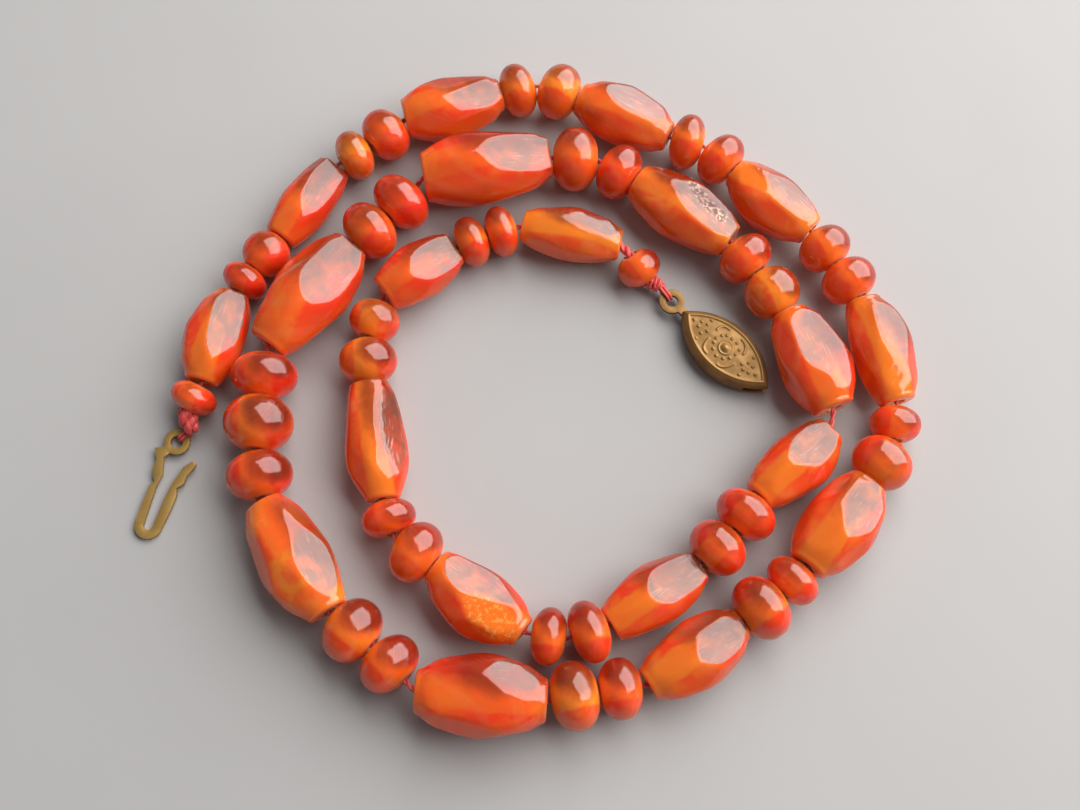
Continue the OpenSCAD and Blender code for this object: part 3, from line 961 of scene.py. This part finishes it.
def carnelian_material():
    n = Nodes("carnelian")
    where = n.attribute("stone", "Vector")
    warm, core, shade_and_clear = n.attribute("warm"), n.attribute("core"), n.attribute("shade_and_clear")
    cloud = n.noise(where, *CLOUD)
    wander = n.multiply(n.math("SUBTRACT", cloud, 0.5), 0.35)

    # Clouds of warmer stone, and faint milky bands
    rim = n.mix(n.ramp(warm, 0.0, 1.0), RED, ORANGE)
    heart = n.mix(n.ramp(warm, 0.1, 0.9), PALE, AMBER)
    patch = n.multiply(n.ramp(cloud, 0.44, 0.66), n.ramp(warm, 0.0, 1.0, 0.3, 0.9))
    body = n.mix(patch, rim, heart)
    bands = n.wave(where, *BANDS)
    body = n.mix(n.multiply(n.ramp(bands, 0.7, 1.0), 0.15), body, MILK)

    # Deeper at both sides, and lighter along the bore
    apart = n.add(n.math("ABSOLUTE", n.attribute("across")), wander)
    body = n.mix(n.ramp(apart, 0.50, 0.92, 0.0, 0.6), body, DEEP)
    body = n.mix(n.multiply(n.ramp(apart, 0.44, 0.32), core), body, heart)

    # Painted glow on the side away from the light, and painted brown shade on the side towards
    # it, where the stone is also clearer
    shade_side = n.add(n.attribute("shade_side"), wander)
    body = n.mix(n.ramp(shade_side, 0.30, -0.35, 0.0, 0.35), body, heart)
    shade_and_clear_mask = n.multiply(n.ramp(shade_side, 0.42, 0.76), n.ramp(shade_and_clear, 0.0, 1.0, 0.60, 1.0, smooth=False))
    body = n.mix(shade_and_clear_mask, body, SHADE_BROWN)

    # Painted rim light, milkier towards the ends, and fine lines here and there
    body = n.mix(n.ramp(n.attribute("end"), -0.45, 0.0, 0.0, 0.35), body, MILK)
    strokes = n.wave(where, *STROKES)
    lines = n.multiply(n.ramp(strokes, 0.85, 1.0), n.ramp(n.noise(where, 0.30), 0.50, 0.64))
    body = n.mix(n.multiply(lines, 0.12), body, MILK)

    # The frosted face, with the strokes of grinding
    cut = n.ramp(n.attribute("cut"), 0.35, 0.75)
    grooves = n.noise(n.stretched(where, GROOVE_STRETCH, GROOVE_TURN), *GROOVES)
    ground = n.multiply(n.ramp(grooves, 0.50, 0.68), n.ramp(n.noise(where, 0.45), 0.40, 0.62))
    frost = n.mix(ground, FROST, STROKE)
    body = n.mix(n.multiply(cut, n.ramp(cloud, 0.35, 0.60, 0.48, 0.86)), body, frost)

    # Crystals in their cleft, and the grainy patch
    scattered = n.ramp(n.noise(where, 1.3), 0.32, 0.44)
    crystals = n.multiply(n.ramp(n.attribute("druse"), 0.1, 0.6), scattered)
    specks = n.ramp(n.noise(where, *SPECKS), 0.46, 0.60)
    body = n.mix(crystals, body, n.mix(specks, CLEFT, CRYSTAL))
    grains = n.ramp(n.noise(where, *GRAINS), 0.50, 0.62)
    body = n.mix(n.attribute("grain"), body, n.mix(grains, PALE, SUGAR))

    polish = n.ramp(lines, 0.0, 1.0, 0.035, 0.18)
    n.set(Base_Color=body, Roughness=n.add(polish, n.multiply(crystals, 0.45)))
    n.set(Transmission_Weight=n.ramp(shade_and_clear_mask, 0.0, 0.8, 0.22, 0.6, smooth=False))
    n.set(IOR=1.54, Specular_IOR_Level=0.62)
    n.set(Subsurface_Weight=1.0, Subsurface_Scale=0.0013, Subsurface_Radius=SCATTER_RADII)
    n.bump(n.add(strokes, n.noise(where, 2.0)), strength=0.10, distance=0.00004)
    n.absorb(ABSORBED, DENSITY)
    return n.material


def bore_material():
    n = Nodes("bore_wall")
    where = n.attribute("stone", "Vector")
    n.set(Base_Color=n.mix(n.noise(where, 2.0), *BORE_WALL), Roughness=0.6)
    return n.material


def silk_material():
    n = Nodes("silk")
    fibre = n.noise(n.attribute("stone", "Vector"), *FIBRE)
    n.set(Base_Color=n.mix(n.ramp(fibre, 0.30, 0.68), *SILK))
    n.set(Roughness=n.ramp(fibre, 0.2, 0.8, 0.55, 0.38))
    n.set(Sheen_Weight=0.15, Sheen_Roughness=0.35)
    n.bump(fibre, strength=0.6, distance=0.00006)
    return n.material


def brass_material(name, dark, light):
    n = Nodes(name)
    where = n.coordinates()
    stain = n.noise(where, *STAIN)
    grain = n.noise(where, *BRASS_GRAIN)
    colour = n.mix(n.ramp(stain, 0.32, 0.70), dark, light)
    colour = n.mix(n.multiply(n.attribute("relief"), 0.65), colour, POLISHED_BRASS)
    colour = n.mix(n.ramp(grain, 0.62, 0.80, 0.0, 0.35), colour, TARNISH)
    n.set(Base_Color=colour, Metallic=0.7, Roughness=n.ramp(stain, 0.3, 0.7, 0.56, 0.42))
    n.bump(n.add(stain, n.multiply(grain, 0.5)), strength=0.25, distance=0.00004)
    return n.material


def floor_material():
    n = Nodes("floor")
    mottle = n.noise(n.coordinates(), *MOTTLE)
    n.set(Base_Color=n.mix(mottle, *FLOOR), Roughness=0.75)
    return n.material


# Pieces


def finish_piece(obj, slot, materials, *replaced):
    """Give a piece its materials, and say what it rides on and replaces. Its slot is not used."""
    if obj.data.materials:
        obj.data.materials.clear()
    for material in materials:
        obj.data.materials.append(material)
    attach(obj, "root")
    if replaced:
        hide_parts(*replaced)


def build_pieces():
    stone_materials = [carnelian_material(), bore_material()]
    silk = silk_material()
    shell_brass = brass_material("shell_brass", *SHELL_BRASS)
    hook_brass = brass_material("hook_brass", *HOOK_BRASS)

    beads = find_beads()
    cuts = iter(BARREL_CUTS)
    for bead in beads:
        piece = barrel(bead, next(cuts)) if bead.node.startswith("barrel") else rondelle(bead)
        finish_piece(piece, "carnelian", stone_materials, bead.node)

    finish_piece(thread_piece(beads), "silk", [silk], "thread")
    hook_knot = knot_piece("silk_knot_hook", HOOK_KNOT, beads[0], -1)
    finish_piece(hook_knot, "silk", [silk], "hook_knot")
    clasp_knot = knot_piece("silk_knot_clasp", CLASP_KNOT, beads[-1], 1)
    finish_piece(clasp_knot, "silk", [silk], "clasp_knot")

    finish_piece(clasp_cover(), "brass", [shell_brass])
    metal_parts = (("hook", hook_brass, HOOK_EDGE), ("clasp_shell", shell_brass, SHELL_EDGE))
    for name, brass, width in metal_parts:
        finish_piece(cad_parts[name], "brass", [brass])
        soften_edges(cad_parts[name], width)


# Stage

# In metres: half of the floor's side, its height, the window's distance, width and height, and
# the camera's clipping
FLOOR_HALF, FLOOR_Z = 1.5, -0.00005
WINDOW_DISTANCE, WINDOW_WIDTH, WINDOW_HEIGHT = 0.60, 1.02, 0.86
CAMERA_CLIP = (0.01, 10.0)
# A soft window, at the right and behind
WINDOW_AZIMUTH, WINDOW_ELEVATION = 36, 38
WINDOW_RADIANCE, WINDOW_COLOUR = 5.0, (1.0, 0.975, 0.955)
SKY_STRENGTH, SKY_COLOUR = 0.18, (0.93, 0.95, 1.0, 1.0)
CAMERA_AT, CAMERA_TARGET = (1.38, -54.71, 170.22), (1.38, -2.67, 0.0)
CAMERA_LENS, CAMERA_SENSOR = 43.333, 36.0


def place(name, data, at, axis, towards):
    """Add an object at a place, with that axis of its own turned towards a direction."""
    obj = bpy.data.objects.new(name, data)
    obj.location = at
    obj.rotation_mode = "QUATERNION"
    obj.rotation_quaternion = towards.to_track_quat(axis, "Y")
    bpy.context.scene.collection.objects.link(obj)
    return obj


def build_floor():
    mesh = bpy.data.meshes.new("floor")
    s = FLOOR_HALF
    mesh.from_pydata([(-s, -s, 0), (s, -s, 0), (s, s, 0), (-s, s, 0)], [], [(0, 1, 2, 3)])
    mesh.materials.append(floor_material())
    floor = bpy.data.objects.new("floor", mesh)
    floor.location.z = FLOOR_Z
    bpy.context.scene.collection.objects.link(floor)


def build_lights():
    light = bpy.data.lights.new("window", "AREA")
    light.shape = "RECTANGLE"
    light.size, light.size_y = WINDOW_WIDTH, WINDOW_HEIGHT
    light.energy = WINDOW_RADIANCE * math.pi * WINDOW_WIDTH * WINDOW_HEIGHT
    light.color = WINDOW_COLOUR
    a, e = math.radians(WINDOW_AZIMUTH), math.radians(WINDOW_ELEVATION)
    out = Vector((math.cos(a) * math.cos(e), math.sin(a) * math.cos(e), math.sin(e)))
    place("window", light, out * WINDOW_DISTANCE, "Z", out)
    world = bpy.data.worlds.new("studio")
    world.use_nodes = True
    background = world.node_tree.nodes["Background"]
    background.inputs["Color"].default_value = SKY_COLOUR
    background.inputs["Strength"].default_value = SKY_STRENGTH
    bpy.context.scene.world = world


def build_camera():
    camera = bpy.data.cameras.new("camera")
    camera.lens = CAMERA_LENS
    camera.sensor_width = CAMERA_SENSOR
    camera.clip_start, camera.clip_end = CAMERA_CLIP
    at, target = Vector(CAMERA_AT) * MM, Vector(CAMERA_TARGET) * MM
    bpy.context.scene.camera = place("camera", camera, at, "-Z", target - at)


build_pieces()
build_floor()
build_lights()
build_camera()
bpy.context.scene.view_settings.view_transform = "Standard"

bpy.context.view_layer.update()
